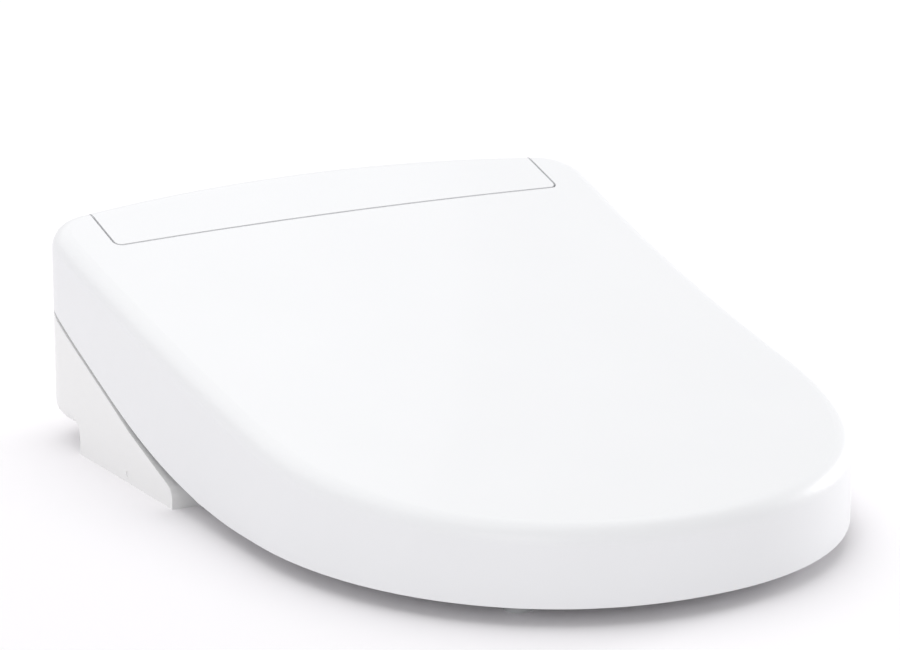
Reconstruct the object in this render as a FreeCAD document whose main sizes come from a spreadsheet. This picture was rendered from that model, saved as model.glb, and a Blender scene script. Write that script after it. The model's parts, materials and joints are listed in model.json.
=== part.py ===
import FreeCAD, Part
import math
import os
import Sketcher
from FreeCAD import Placement, Rotation, Vector

# Electric bidet seat, closed: mounting plate, unit, seat ring and lid.
# X runs across, -Y to the nose, +Z up.  The origin lies midway between the
# two bowl bolts, on the bowl's top face.  All sizes are in millimetres.

DIMENSIONS = [
    # plan outline shared by lid, unit and seat
    ("rear_reach", 60.0), ("nose_reach", 470.0), ("half_width", 199.0),
    ("nose_half_width", 191.5), ("nose_curve_length", 221.7), ("nose_power", 2.13),
    ("corner_radius", 32.0), ("rear_sag", 16.0),
    # how much of the flare from nose to rear the side has at the controls and at the plug
    ("control_flare", 0.78), ("plug_flare", 0.5), ("control_sink", 0.95), ("plug_radius", 2.2),
    ("gland_radius", 8.0), ("screw_radius", 1.5), ("screw_head_radius", 3.6), ("screw_play", 0.5),
    ("motor_radius", 9.0), ("motor_length", 38.0), ("gearbox_depth", 15.0), ("gearbox_height", 26.5),
    # height of the lid's top along the centre, and its crown across
    ("rear_height", 152.5), ("middle_height", 87.1), ("nose_height", 57.2), ("crown", 3.6),
    ("lid_wall", 3.0), ("lid_edge_radius", 12.0), ("lid_lower_edge", 11.5),
    ("seam_height", 88.4), ("seam_front", 140.0), ("seam_corner", 23.5), ("seam_sweep", 440.0),
    ("lid_rear_round", 8.0), ("seam_gap", 2.0),
    # unit
    ("case_wall", 3.0), ("case_front", 145.5), ("case_front_height", 12.4), ("case_knee", 85.0),
    ("case_knee_height", 34.3), ("case_foot_rear", 4.5), ("underside", 20.0), ("floor", 3.0),
    ("recess_half", 146.0), ("case_bottom_round", 11.0), ("side_underside", 15.5),
    ("hood_half", 160.0), ("hood_front", 106.0), ("hood_drop", 9.0), ("hood_wall", 2.5),
    ("fit_gap", 0.4), ("cover_half", 164.3), ("cover_line", 3.2), ("cover_wall", 3.0),
    ("cover_corner", 6.0), ("cover_seam", 1.5), ("cover_skirt", 113.0), ("cover_lip", 7.0),
    # hinge line of seat and lid
    ("pivot_back", 36.0), ("pivot_height", 126.4), ("shaft_radius", 4.0), ("run_gap", 0.05),
    ("bush_wall", 1.6), ("seat_hub", 8.0), ("seat_arm_in", 167.0), ("seat_arm_out", 176.0),
    ("lid_hub", 11.0), ("lid_hub_in", 178.0), ("lid_hub_out", 190.0), ("drive_depth", 134.0),
    # seat
    ("seat_inset", 7.0), ("seat_rear", 116.0), ("seat_rear_top", 74.0), ("seat_mid_top", 50.0),
    ("seat_nose_top", 42.0), ("seat_dish", 5.0), ("seat_wall", 2.8), ("seat_underside", 9.0),
    ("seat_lift_start", 165.0), ("seat_lift", 31.0), ("opening_centre", 268.0),
    ("opening_half_length", 132.0), ("opening_half_width", 106.0), ("seat_edge_radius", 9.0),
    ("wand_arch", 50.0), ("bumper_radius", 9.0),
    # mounting plate
    ("plate_length", 200.0), ("plate_width", 96.0), ("plate_thick", 5.0), ("bolt_spacing", 140.0),
    ("bolt_slot", 30.0), ("bolt_slot_radius", 4.5), ("rail_height", 12.0),
    ("rail_thick", 4.0),
    # wand
    ("wand_tilt", 20.0), ("wand_exit", 36.0), ("wand_radius", 8.0), ("wand_length", 141.0),
    ("guide_gap", 0.4), ("gear_module", 0.8), ("pinion_teeth", 18.0),
    ("rack_pitch_line", 11.0), ("pinion_place", 26.0), ("gear_play", 0.2), ("rack_width", 6.0),
    # services inside the unit
    ("tank_length", 88.0), ("tank_width", 54.0), ("tank_height", 48.0), ("hose_radius", 3.5),
    ("fan_radius", 30.0), ("fan_height", 34.0), ("duct_width", 46.0), ("duct_height", 24.0),
    ("duct_wall", 2.0), ("board_thick", 1.6), ("inlet_radius", 10.45), ("inlet_length", 14.0),
    ("inlet_shoulder", 12.0),
    ("button_radius", 7.0), ("cartridge_length", 36.0),
    ("cartridge_height", 18.0), ("cartridge_depth", 30.0),
]

doc = FreeCAD.newDocument("bidet_seat")
sheet = doc.addObject("Spreadsheet::Sheet", "dims")
for row, (alias, value) in enumerate(DIMENSIONS, start=1):
    sheet.set(f"A{row}", alias)
    sheet.set(f"B{row}", str(value))
    sheet.setAlias(f"B{row}", alias)
doc.recompute()

nodes = []


def dim(alias):
    """The value of one cell of the sheet."""
    return float(sheet.get(alias))


def expression(text):
    """Turn bare size names into references to the sheet."""
    words, word = [], ""
    for letter in str(text) + " ":
        if letter.isalnum() or letter == "_":
            word += letter
            continue
        words.append("dims." + word if word in ALIASES else word)
        words.append(letter)
        word = ""
    return "".join(words).strip()


ALIASES = {alias for alias, _ in DIMENSIONS}


def bind(thing, sizes):
    """Bind properties of an object to expressions of the sheet."""
    for prop, text in sizes.items():
        thing.setExpression(prop, expression(text))
    return thing


def place(thing, at, turn=None):
    """Put an object at a point given by three expressions, turned if asked."""
    if turn:
        thing.Placement = Placement(Vector(), Rotation(Vector(*turn[0]), turn[1]))
    return bind(thing, {f"Placement.Base.{axis}": text for axis, text in zip("xyz", at)})


def block(name, size, at):
    """A box from its low corner, with sizes and place as expressions."""
    thing = doc.addObject("Part::Box", name)
    bind(thing, dict(zip(("Length", "Width", "Height"), size)))
    return place(thing, at)


TURNS = {"x": ((0, 1, 0), 90), "y": ((1, 0, 0), -90), "z": None}


def rod(name, radius, length, at, axis="z"):
    """A cylinder that starts at a point and runs along +X, +Y or +Z."""
    thing = doc.addObject("Part::Cylinder", name)
    bind(thing, {"Radius": radius, "Height": length})
    return place(thing, at, TURNS[axis])


def fuse(name, *things):
    """One solid of several."""
    thing = doc.addObject("Part::MultiFuse", name)
    thing.Shapes = list(things)
    return thing


def cut(name, base, *tools):
    """A solid less its tools."""
    thing = doc.addObject("Part::Cut", name)
    thing.Base = base
    thing.Tool = tools[0] if len(tools) == 1 else fuse(name + "_tools", *tools)
    return thing


def group(name, *things):
    """Separate solids kept in one node."""
    thing = doc.addObject("Part::Compound", name)
    thing.Links = list(things)
    return thing


def coded(name, shape):
    """A sub-part whose surface is neither a primitive nor a pad."""
    thing = doc.addObject("Part::Feature", name)
    thing.Shape = shape
    thing.Placement = Placement()
    return thing


def node(thing, label):
    """Give a finished sub-part its name."""
    thing.Label = label
    nodes.append(thing)
    return thing


# ---------------------------------------------------------------- outlines


def box_shape(low, high):
    """A plain box between two corners."""
    size = [b - a for a, b in zip(low, high)]
    return Part.makeBox(*size, Vector(*low))


def outline(inset, height):
    """The closed plan outline, moved inward by inset, at a height."""
    power = 2.0 / dim("nose_power")
    half, nose_half = dim("half_width") - inset, dim("nose_half_width") - inset
    length = dim("nose_curve_length") - inset
    widest = dim("nose_curve_length") - dim("nose_reach")
    radius = dim("corner_radius") - inset
    rear_radius = (dim("half_width") ** 2 + dim("rear_sag") ** 2) / (2 * dim("rear_sag"))
    rear_centre = dim("rear_reach") - rear_radius
    corner_x = half - radius
    corner_y = rear_centre + math.sqrt((rear_radius - dim("corner_radius")) ** 2 - corner_x ** 2)
    side = []
    for step in range(4):
        share = 1.0 - step / 4.0
        flare = (half - nose_half) * share ** 1.4
        side.append(Vector(nose_half + flare, widest + share * (corner_y - widest), height))
    nose = []
    for step in range(13):
        turn = math.radians(90.0 - step * 7.5)
        x = nose_half * abs(math.sin(turn)) ** power
        nose.append(Vector(x, widest - length * abs(math.cos(turn)) ** power, height))
    half_points = side + nose
    other = [Vector(-p.x, p.y, p.z) for p in reversed(half_points[:-1])]
    curve = Part.BSplineCurve()
    curve.interpolate(Points=half_points + other, InitialTangent=Vector(0, -1, 0),
                      FinalTangent=Vector(0, 1, 0))
    reach = Vector(corner_x, corner_y - rear_centre, 0)
    reach.normalize()
    turn = math.atan2(reach.y, reach.x)
    meet = Vector(0, rear_centre, height) + reach * (rear_radius - inset)
    middle = Vector(corner_x + radius * math.cos(turn / 2),
                    corner_y + radius * math.sin(turn / 2), height)
    mirror = [Vector(-p.x, p.y, p.z) for p in (meet, middle)]
    rear = Vector(0, rear_centre + rear_radius - inset, height)
    edges = [
        curve.toShape(),
        Part.Arc(other[-1], mirror[1], mirror[0]).toShape(),
        Part.Arc(mirror[0], rear, meet).toShape(),
        Part.Arc(meet, middle, half_points[0]).toShape(),
    ]
    return Part.Wire(edges)


def column(inset, low, high):
    """The outline drawn up from one height to another."""
    face = Part.Face(outline(inset, low))
    return face.extrude(Vector(0, 0, high - low))


def below(rear, middle, nose, crown, rear_y, nose_y):
    """All that lies under a surface that is a parabola along and across."""
    edge_x, margin = dim("half_width") + 20.0, 20.0
    centre_y = (rear_y + nose_y) / 2
    slope = (rear - nose) / (rear_y - nose_y)
    bend = (rear + nose - 2 * middle) / 2 / ((rear_y - nose_y) / 2) ** 2

    def along(y):
        return middle + slope * (y - centre_y) + bend * (y - centre_y) ** 2

    def poles(first, centre, last):
        return [first, 2 * centre - (first + last) / 2, last]

    low_y, high_y = nose_y - margin, rear_y + margin
    heights = poles(along(low_y), along((low_y + high_y) / 2), along(high_y))
    side = crown * (1 - (edge_x / dim("half_width")) ** 2)
    lifts = poles(side, crown, side)
    surface = Part.BezierSurface()
    surface.increase(2, 2)
    for i, (x, lift) in enumerate(zip((-edge_x, 0, edge_x), lifts)):
        for j, (y, z) in enumerate(zip((low_y, (low_y + high_y) / 2, high_y), heights)):
            surface.setPole(i + 1, j + 1, Vector(x, y, z + lift))
    return surface.toShape().extrude(Vector(0, 0, -400.0))


def below_lid(drop):
    """All that lies under the lid's top face, lowered by drop."""
    heights = [dim(a) - drop for a in ("rear_height", "middle_height", "nose_height")]
    return below(*heights, dim("crown"), dim("rear_reach"), -dim("nose_reach"))


def below_seat(drop):
    """All that lies under the seat's top face, lowered by drop."""
    heights = [dim(a) - drop for a in ("seat_rear_top", "seat_mid_top", "seat_nose_top")]
    return below(*heights, -dim("seat_dish"), -dim("seat_rear"), -dim("nose_reach"))


def rounded_slab(points, radii, half):
    """A closed side profile (y, z) with rounded corners, drawn across to +-half."""
    count, edges, ends = len(points), [], []
    spots = [Vector(-half, y, z) for y, z in points]
    for i, (spot, radius) in enumerate(zip(spots, radii)):
        before, after = spots[i - 1] - spot, spots[(i + 1) % count] - spot
        before.normalize()
        after.normalize()
        if not radius:
            ends.append((spot, spot, None))
            continue
        angle = before.getAngle(after)
        reach = radius / math.tan(angle / 2)
        middle = before + after
        middle.normalize()
        centre = spot + middle * (radius / math.sin(angle / 2))
        ends.append((spot + before * reach, spot + after * reach, centre - middle * radius))
    for i, (start, end, middle) in enumerate(ends):
        if middle is not None:
            edges.append(Part.Arc(start, middle, end).toShape())
        edges.append(Part.LineSegment(end, ends[(i + 1) % count][0]).toShape())
    return Part.Face(Part.Wire(edges)).extrude(Vector(2 * half, 0, 0))


def rounded_top(solid, radius):
    """Round the edges of a solid's highest face."""
    top = max(solid.Faces, key=lambda face: face.BoundBox.ZMax + face.CenterOfMass.z)
    return solid.makeFillet(radius, top.Edges)


WIDE = 230.0


def lid_blank(inset, drop, radius):
    """The lid's outer or inner form, with its top edge rounded."""
    return rounded_top(column(inset, -40.0, 260.0).common(below_lid(drop)), radius)


# ---------------------------------------------------------------- lid


def seam_side(lift):
    """All that lies under the lid's lower edge, moved by lift."""
    high, low = dim("seam_height") + lift, dim("lid_lower_edge") + lift
    points = [(150.0, high), (dim("seam_corner"), high), (-dim("seam_front"), low),
              (-600.0, low), (-600.0, -100.0), (150.0, -100.0)]
    return rounded_slab(points, [0, 14.0, dim("seam_sweep"), 0, 0, 0], WIDE)


def notch(half, front, corner):
    """The space of the rear cover, from its front line to the rear."""
    shape = box_shape((-half, -front, -50.0), (half, 150.0, 300.0))
    edges = [e for e in shape.Edges
             if abs(e.CenterOfMass.y + front) < 0.01 and e.BoundBox.ZLength > 100]
    return shape.makeFillet(corner, edges)


def pivot(x):
    """A point of the hinge line."""
    return Vector(x, dim("pivot_back"), dim("pivot_height"))


def barrel(x_low, x_high, radius):
    """A cylinder on the hinge line between two places across."""
    return Part.makeCylinder(radius, x_high - x_low, pivot(x_low), Vector(1, 0, 0))


def both(make):
    """A shape made for the right side, and its mirror on the left."""
    right = make()
    return [right, right.mirror(Vector(), Vector(1, 0, 0))]


def lid_shell():
    """The lid: one moulding with a skirt, a notch for the cover and two hubs."""
    wall, radius = dim("lid_wall"), dim("lid_edge_radius")
    outer = lid_blank(0, 0, radius)
    inner = lid_blank(wall, wall + 0.2, radius - wall)
    core = lid_blank(wall / 2, wall / 2, radius - wall / 2)
    hub_in, hub_out = dim("lid_hub_in"), dim("lid_hub_out")
    back, height = dim("pivot_back"), dim("pivot_height")

    def hub():
        web = box_shape((hub_in, back - 9.0, height), (hub_out + 12.0, back + 6.0, height + 40.0))
        return barrel(hub_in, hub_out + 12.0, dim("lid_hub")).fuse(web).common(core)

    shell = outer.cut(inner).cut(seam_side(0)).fuse(both(hub))
    shell = shell.cut(notch(dim("cover_half") + dim("cover_seam"),
                            dim("cover_line") + dim("cover_seam"), dim("cover_corner")))
    arm_slot = both(lambda: box_shape((dim("cover_half"), back, -50.0),
                                      (hub_in - 0.5, 150.0, height + 2.0)))
    trim = dim("lid_rear_round")
    rear = dim("rear_reach") - 11.0
    corner = box_shape((-WIDE, rear - trim, dim("seam_height") - 1), (WIDE, 150.0,
                       dim("seam_height") + trim))
    corner = corner.cut(Part.makeCylinder(trim, 2 * WIDE, Vector(-WIDE, rear - trim,
                        dim("seam_height") + trim), Vector(1, 0, 0)))
    bore = [barrel(hub_in - 1, hub_out - 1.0, dim("shaft_radius") + dim("bush_wall")),
            barrel(-hub_out + 1.0, -hub_in + 1, dim("shaft_radius"))]
    shell = shell.cut(arm_slot + [corner] + bore).removeSplitter()
    return coded("LidShell", shell)


def bumpers(name, spots, radius, top, bottom):
    """Round rubber stops between two given heights at each spot."""
    things = []
    for i, (x, y) in enumerate(spots):
        shape = Part.makeCylinder(radius, 300.0, Vector(x, y, -50.0))
        things.append(shape.common(top).cut(bottom))
    return coded(name, Part.Compound(things))


# ---------------------------------------------------------------- unit shells


def case_profile(inset):
    """The unit's side form, moved inward by inset."""
    slope = (dim("seam_height") - dim("lid_lower_edge")) / (dim("seam_corner") + dim("seam_front"))
    top = dim("seam_height") - dim("seam_gap")
    knee, knee_z = -dim("case_knee"), dim("case_knee_height")
    corner = knee + (top - knee_z) / slope
    front, front_z = -dim("case_front"), dim("case_front_height")
    foot, under = -dim("case_foot_rear"), dim("side_underside")
    points = [(150.0, top - inset), (corner, top - inset), (knee, knee_z - inset),
              (front + inset, front_z - inset), (front + inset, inset), (foot - inset, inset),
              (foot - inset, under + inset), (150.0, under + inset)]
    return rounded_slab(points, [0, 14.0, 60.0, 9.0, 0, 0, 5.0, 0], WIDE)


def lower_case():
    """The unit's lower moulding: floor, cheeks, rear wall and the plate's recess."""
    wall, half, gap = dim("case_wall"), dim("hood_half"), dim("fit_gap")
    floor_top = dim("underside") + dim("floor")
    body = column(0, -10.0, 200.0).common(case_profile(0))
    side = dim("side_underside")
    under = [e for e in body.Edges if abs(e.BoundBox.ZMax - side) < 0.01
             and abs(e.BoundBox.ZMin - side) < 0.01 and e.BoundBox.YMax > dim("case_foot_rear")]
    body = body.makeFillet(dim("case_bottom_round"), under)
    rear = box_shape((-dim("cover_half"), 0, dim("underside") + 12.0),
                     (dim("cover_half"), 150.0, dim("cover_skirt") - gap))
    body = body.fuse(column(0, 0, 200.0).common(rear).cut(column(wall, -1, 201.0)))
    middle = box_shape((-half - gap, -dim("hood_front") - gap, floor_top), (half + gap, 150.0, 300.0))
    middle = middle.common(column(wall, 0, 300.0))
    cheek = column(wall, -20.0, 220.0).common(case_profile(wall))
    cheek = cheek.cut(box_shape((-half - gap - wall, -400.0, -50.0), (half + gap + wall, 200.0, 300.0)))
    recess = box_shape((-dim("recess_half"), -300.0, -10.0), (dim("recess_half"), 200.0,
                       dim("underside")))
    front = box_shape((-dim("recess_half"), -300.0, -10.0), (dim("recess_half"),
                      -dim("hood_front") - wall - gap, 300.0))
    body = body.cut([middle, cheek, recess, front] + lower_openings())
    return coded("LowerCase", body.removeSplitter())


def side_at(flare):
    """Half-width of the case where it has that share of its flare."""
    return dim("nose_half_width") + (dim("half_width") - dim("nose_half_width")) * dim(flare)


def lower_openings():
    """Holes of the lower case: inlet, drain, gland, button, cartridge, wand and duct."""
    floor = dim("underside")
    round_holes = (INLET + (dim("inlet_shoulder") + dim("fit_gap"),),
                   DRAIN + (9.0 + dim("guide_gap"),), GLAND + (dim("gland_radius"),))
    holes = [Part.makeCylinder(r, 40.0, Vector(x, y, floor - 20.0)) for x, y, r in round_holes]
    button_y, button_z = BUTTON
    side = side_at("control_flare")
    holes.append(Part.makeCylinder(dim("button_radius") + dim("guide_gap"), 30.0,
                                   Vector(side - 18.35, button_y, button_z), Vector(1, 0, 0)))
    plug_y, plug_z = PLUG
    plug_start = Vector(20.25 - side_at("plug_flare"), plug_y, plug_z)
    holes.append(Part.makeCylinder(dim("plug_radius"), 30.0, plug_start, Vector(-1, 0, 0)))
    low_y, low_z = CARTRIDGE
    play = dim("guide_gap")
    holes.append(box_shape((side - 10.35, low_y - play, low_z - play),
                           (side + 21.65, low_y + dim("cartridge_length") + play,
                            low_z + dim("cartridge_height") + play)))
    screw_hole = dim("screw_radius") + dim("screw_play")
    for x, y in CASE_SCREWS:
        holes.append(Part.makeCylinder(screw_hole, 40.0, Vector(x, y, floor - 20.0)))
    long, wide, deep = FOOT_SIZE
    for x, y in FEET:
        holes.append(box_shape((x - long / 2, y - wide / 2, -5.0), (x + long / 2, y + wide / 2, deep)))
    return holes


CONTROL_SIDE = "nose_half_width+(half_width-nose_half_width)*control_flare"
PLUG_SIDE = "nose_half_width+(half_width-nose_half_width)*plug_flare"
INLET = (-128.0, 22.0)
DRAIN = (-92.0, 24.0)
GLAND = (121.0, 31.0)
BUTTON = (-34.0, 24.0)
PLUG = (-82.0, 5.5)
CARTRIDGE = (-20.0, 24.0)
CASE_SCREWS = [(-139.0, -98.0), (-139.0, -32.0), (-139.0, 38.0),
               (139.0, -98.0), (139.0, -2.0), (139.0, 38.0)]
FEET = [(side * x, y) for side in (-1, 1) for x, y in ((172.0, -122.0), (176.0, -36.0))]
FOOT_SIZE = (16.0, 24.0, 1.5)


def upper_case():
    """The hood over the machinery, hidden by lid and rear cover."""
    half, wall, gap = dim("hood_half"), dim("hood_wall"), dim("fit_gap")
    front, low = -dim("hood_front"), dim("underside") + dim("floor")
    inset = dim("case_wall") + gap

    def form(shrink, bottom):
        space = box_shape((-half + shrink, front + shrink, bottom), (half - shrink, 150.0, 300.0))
        rounding = dim("lid_edge_radius") - inset + dim("fit_gap") - shrink
        return lid_blank(inset + shrink, dim("hood_drop") + shrink, rounding).common(space)

    outer = form(0, low)
    long_edges = [e for e in outer.Edges if e.BoundBox.ZMin > 80.0
                  and (e.BoundBox.YLength > 100 or abs(e.BoundBox.YMax - front) < 0.01)]
    hood = outer.makeFillet(5.0, long_edges).cut(form(wall, low - 10.0))
    bosses = []
    for x, y in CASE_SCREWS:
        side = math.copysign(half - wall / 2, x)
        boss = Part.makeCylinder(4.5, 14.0, Vector(x, y, low))
        web = box_shape((min(x, side), y - 2.0, low), (max(x, side), y + 2.0, low + 14.0))
        bosses.append(boss.fuse(web).cut(Part.makeCylinder(1.6, 20.0, Vector(x, y, low - 1))))
    hood = hood.fuse(bosses)
    bush = dim("shaft_radius") + dim("bush_wall")
    holes = [barrel(half - 10.0, half + 5.0, bush), barrel(-half - 5.0, -half + 10.0, bush)]
    holes += [wand_clearance(), box_shape(*DUCT_HOLE)]
    return coded("UpperCase", hood.cut(holes).removeSplitter())


DUCT_HOLE = ((74.0, -120.0, 33.0), (116.0, -100.0, 51.0))


def wand_clearance():
    """The round hole in the hood's front wall that the wand comes out of."""
    hole = Part.makeCylinder(dim("wand_radius") + 1.2, 60.0, Vector(0, 30.0, 0), Vector(0, -1, 0))
    half, top = dim("rack_width") / 2 + 0.8, dim("rack_pitch_line") + dim("gear_module") + 1.2
    hole = hole.fuse(box_shape((-half, -30.0, 0), (half, 30.0, top)))
    hole.Placement = wand_frame()
    return hole


def wand_frame():
    """The wand's own frame: -Y runs out of the unit along the wand, tilted down."""
    start = Vector(0, -dim("hood_front") - 2.0, dim("wand_exit"))
    return Placement(start, Rotation(Vector(1, 0, 0), dim("wand_tilt")))


def rear_cover():
    """The inset cover behind the lid, flush with it, its middle left bare."""
    wall, half, line = dim("cover_wall"), dim("cover_half"), dim("cover_line")
    outer = lid_blank(0, 0, dim("lid_edge_radius"))
    inner = lid_blank(wall, wall, dim("lid_edge_radius") - wall)
    space = notch(half, line, dim("cover_corner") - dim("cover_seam")).common(
        box_shape((-WIDE, -60.0, dim("cover_skirt")), (WIDE, 150.0, 300.0)))
    inside = notch(half - wall, line - wall, 2.0)
    lip = below_lid(dim("cover_lip")).common(box_shape((-WIDE, -60.0, 0), (WIDE, 30.0, 300.0)))
    shell = outer.common(space)
    hollow = inner.common(inside)
    cover = shell.cut(hollow).cut(lip)
    back, height, room = dim("pivot_back"), dim("pivot_height"), dim("shaft_radius") + 2.5
    slots = both(lambda: box_shape((half - 2 * wall, back - room, 0), (half + wall, back + room,
                                   height + room)))
    return coded("RearCover", cover.cut(slots).removeSplitter())


# ---------------------------------------------------------------- seat


def opening(grow, low, high):
    """The seat's oval opening, drawn up, wider by grow."""
    length, width = dim("opening_half_length") + grow, dim("opening_half_width") + grow
    centre = Vector(0, -dim("opening_centre"), low)
    oval = Part.Ellipse(centre + Vector(0, length, 0), centre + Vector(-width, 0, 0), centre)
    return Part.Face(Part.Wire(oval.toShape())).extrude(Vector(0, 0, high - low))


def seat_under(lift):
    """All that lies under the seat's bottom face, which rises over the cheeks."""
    low, high = dim("seat_underside") + lift, dim("seat_lift") + lift
    points = [(50.0, high), (-dim("seat_rear") - 2.0, high), (-dim("seat_lift_start"), low),
              (-600.0, low), (-600.0, -100.0), (50.0, -100.0)]
    return rounded_slab(points, [0, 8.0, 30.0, 0, 0, 0], WIDE)


def seat_form(inset, drop, radius, rear):
    """The seat ring's outer or inner form."""
    ring = column(inset, -20.0, 200.0).cut(opening(inset - dim("seat_inset"), -30.0, 210.0))
    ring = ring.cut(box_shape((-WIDE, rear, -50.0), (WIDE, 200.0, 300.0)))
    ring = ring.common(below_seat(drop))
    return rounded_top(ring, radius)


def arch(grow):
    """The space under the rear bridge that the wand passes through."""
    half = 34.0 + grow
    return box_shape((-half, -190.0, -50.0), (half, 0, dim("wand_arch") + grow))


def seat_top():
    """The seat's upper shell."""
    inset, wall, radius = dim("seat_inset"), dim("seat_wall"), dim("seat_edge_radius")
    rear = -dim("seat_rear")
    outer = seat_form(inset, 0, radius, rear)
    inner = seat_form(inset + wall, wall, radius - wall, rear - wall)
    inner = inner.cut(arch(wall))
    shell = outer.cut(inner).cut(arch(0)).cut(seat_under(0))
    return coded("SeatTop", shell.removeSplitter())


def seat_base():
    """The plate that closes the seat from below."""
    inset, wall = dim("seat_inset"), dim("seat_wall")
    rear = -dim("seat_rear")
    plate = column(inset + wall, -20.0, 200.0)
    plate = plate.cut(opening(wall, -30.0, 210.0))
    plate = plate.cut(box_shape((-WIDE, rear - wall, -50.0), (WIDE, 200.0, 300.0)))
    plate = plate.common(seat_under(wall)).cut(seat_under(0)).cut(arch(wall))
    return coded("SeatBase", plate.removeSplitter())


def seat_arm(side):
    """One hinge arm, from the hinge line down to the ring's rear face."""
    hub, back, height = dim("seat_hub"), dim("pivot_back"), dim("pivot_height")
    rear = -dim("seat_rear")
    x_in, x_out = dim("seat_arm_in"), dim("seat_arm_out")
    points = [(back, height + hub), (back - 30.0, height + 4.0), (-58.0, height - 22.0),
              (rear, 70.0), (rear, 33.0), (-60.0, 70.0), (-4.0, height - 22.0), (back, height - hub)]
    spots = [Vector(x_in, y, z) for y, z in points]
    web = Part.Face(Part.makePolygon(spots + spots[:1])).extrude(Vector(x_out - x_in, 0, 0))
    arm = web.fuse(barrel(x_in, x_out, hub)).removeSplitter()
    if side < 0:
        arm = arm.mirror(Vector(), Vector(1, 0, 0))
        bore = dim("shaft_radius") + dim("bush_wall")
    else:
        bore = dim("shaft_radius")
    return arm.cut(barrel(side * x_in - 20.0, side * x_in + 20.0, bore))


# ---------------------------------------------------------------- small pieces


def ring(name, outer, inner, x_low, x_high):
    """A bush on the hinge line."""
    body = rod(name + "_body", outer, f"{x_high}-({x_low})", (x_low, "pivot_back", "pivot_height"), "x")
    hole = rod(name + "_hole", inner, f"{x_high}-({x_low})+2", (f"{x_low}-1", "pivot_back",
               "pivot_height"), "x")
    return cut(name, body, hole)


def hinge_parts():
    """Shafts and bushes of the seat and lid hinges."""
    run, bush = "shaft_radius+run_gap", "shaft_radius+bush_wall"
    long = "lid_hub_out-1-drive_depth"
    node(rod("LidShaft", "shaft_radius", long, ("-lid_hub_out+1", "pivot_back", "pivot_height"), "x"),
         "lid_shaft")
    node(rod("SeatShaft", "shaft_radius", long, ("drive_depth", "pivot_back", "pivot_height"), "x"),
         "seat_shaft")
    node(ring("SeatBush", bush, run, "-seat_arm_out", "-seat_arm_in"), "seat_bush")
    node(ring("LidBush", bush, run, "lid_hub_in", "lid_hub_out-1"), "lid_bush")
    left = ring("WallBushLeft", bush, run, "-hood_half-1", "-hood_half+hood_wall")
    right = ring("WallBushRight", bush, run, "hood_half-hood_wall", "hood_half+1")
    node(group("WallBushes", left, right), "hinge_wall_bushes")


def drive(name, low, high, motor_low, label):
    """A geared drive at one end of the hinge line, and its motor."""
    housing = block(name + "Case", (f"{high}-({low})", "gearbox_depth", "gearbox_height"),
                    (low, "pivot_back-10", "pivot_height-21.4"))
    socket = rod(name + "Socket", "shaft_radius+run_gap", "40",
                 ("drive_depth-1" if label == "seat" else "-drive_depth-39", "pivot_back",
                  "pivot_height"), "x")
    node(cut(name, housing, socket), label + "_drive_gearbox")
    motor = rod(name + "Motor", "motor_radius", "motor_length",
                (motor_low, "pivot_back-3", "pivot_height-9"), "x")
    node(motor, label + "_drive_motor")


def drives():
    """The two drives that raise seat and lid."""
    drive("SeatDrive", "104", "hood_half-hood_wall", "66", "seat")
    drive("LidDrive", "-hood_half+hood_wall", "-104", "-104", "lid")


def base_plate():
    """The plate that bolts to the bowl: a padded sketch with two slots and two rails."""
    body = doc.addObject("PartDesign::Body", "BasePlate")
    floor = next(o for o in body.Origin.OriginFeatures if o.Role == "XY_Plane")
    sketch = body.newObject("Sketcher::SketchObject", "PlateSketch")
    sketch.AttachmentSupport = [(floor, "")]
    sketch.MapMode = "FlatFace"
    half_l, half_w = dim("plate_length") / 2, dim("plate_width") / 2
    corners = [Vector(-half_l, -half_w), Vector(half_l, -half_w), Vector(half_l, half_w),
               Vector(-half_l, half_w)]
    for i in range(4):
        sketch.addGeometry(Part.LineSegment(corners[i], corners[(i + 1) % 4]), False)
    for i in range(4):
        sketch.addConstraint(Sketcher.Constraint("Coincident", i, 2, (i + 1) % 4, 1))
    for i, way in enumerate(("Horizontal", "Vertical", "Horizontal", "Vertical")):
        sketch.addConstraint(Sketcher.Constraint(way, i))
    sketch.addConstraint(Sketcher.Constraint("Symmetric", 0, 1, 1, 2, -1, 1))
    for edge, name, alias in ((0, "long", "plate_length"), (1, "wide", "plate_width")):
        sketch.addConstraint(Sketcher.Constraint("Distance", edge, dim(alias)))
        sketch.renameConstraint(sketch.ConstraintCount - 1, name)
        sketch.setExpression("Constraints." + name, "dims." + alias)
    pad = body.newObject("PartDesign::Pad", "PlatePad")
    pad.Profile = sketch
    pad.setExpression("Length", "dims.plate_thick")
    slots = body.newObject("Sketcher::SketchObject", "SlotSketch")
    slots.AttachmentSupport = [(floor, "")]
    slots.MapMode = "FlatFace"
    reach = (dim("bolt_slot") / 2 - dim("bolt_slot_radius"))
    for side in (-1, 1):
        centre = side * dim("bolt_spacing") / 2
        add_slot(slots, centre, reach, dim("bolt_slot_radius"))
    pocket = body.newObject("PartDesign::Pocket", "SlotPocket")
    pocket.Profile = slots
    pocket.Type = 1
    pocket.Midplane = True
    doc.recompute()
    body.Tip = pocket
    return body


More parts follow.
